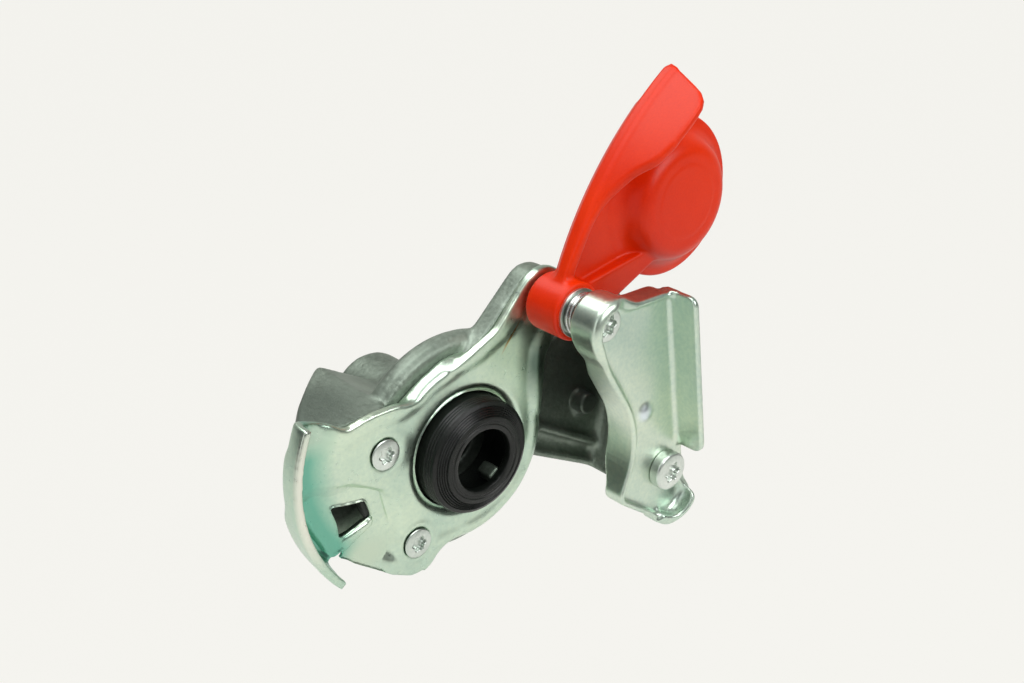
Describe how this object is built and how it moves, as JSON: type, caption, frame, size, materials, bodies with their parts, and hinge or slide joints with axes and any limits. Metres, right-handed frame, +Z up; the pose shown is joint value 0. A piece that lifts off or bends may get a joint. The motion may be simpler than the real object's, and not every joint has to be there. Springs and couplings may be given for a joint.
{
  "type": "air brake coupling head",
  "caption": "Palm type air brake coupling head: cast body with threaded port, claw plate, rubber seal, guide bracket and a sprung swinging dust cap.",
  "frame": {"origin": "middle of the threaded port's mouth, on the ring's axis", "axes": "+Y out of the port, -Y out of the coupling face, +X towards the guide bracket, +Z up"},
  "size_m": [0.1836, 0.104, 0.1606],
  "materials": {
    "casting": "blasted die casting, satin",
    "rubber": "matt",
    "zinc": "zinc plated, pale green, half bright",
    "screw_steel": "zinc plated",
    "red_plastic": "half gloss",
    "spring_steel": "bright wire"
  },
  "bodies": {
    "head": {"body_casting": "casting", "seal_ring": "rubber", "claw_plate": "zinc", "plate_screws": "screw_steel", "guide_bracket": "zinc", "hinge_screw": "screw_steel", "stop_screw": "screw_steel", "cap_spring": "spring_steel"},
    "lifter": {"thrust_washer": "screw_steel"},
    "cap": {"cap": "red_plastic"}
  },
  "joints": [
    {"name": "cap_lift", "type": "slide", "parent": "head", "child": "lifter", "axis": [0, -1, 0], "range_m": [0, 0.0035], "stiffness_N_per_m": 4700, "springref_m": -0.002, "deforming": ["cap_spring"]},
    {"name": "cap_swing", "type": "hinge", "parent": "lifter", "child": "cap", "pos_m": [0.034, -0.068, 0.047], "axis": [0, -1, 0], "range_deg": [0, 206]}
  ]
}
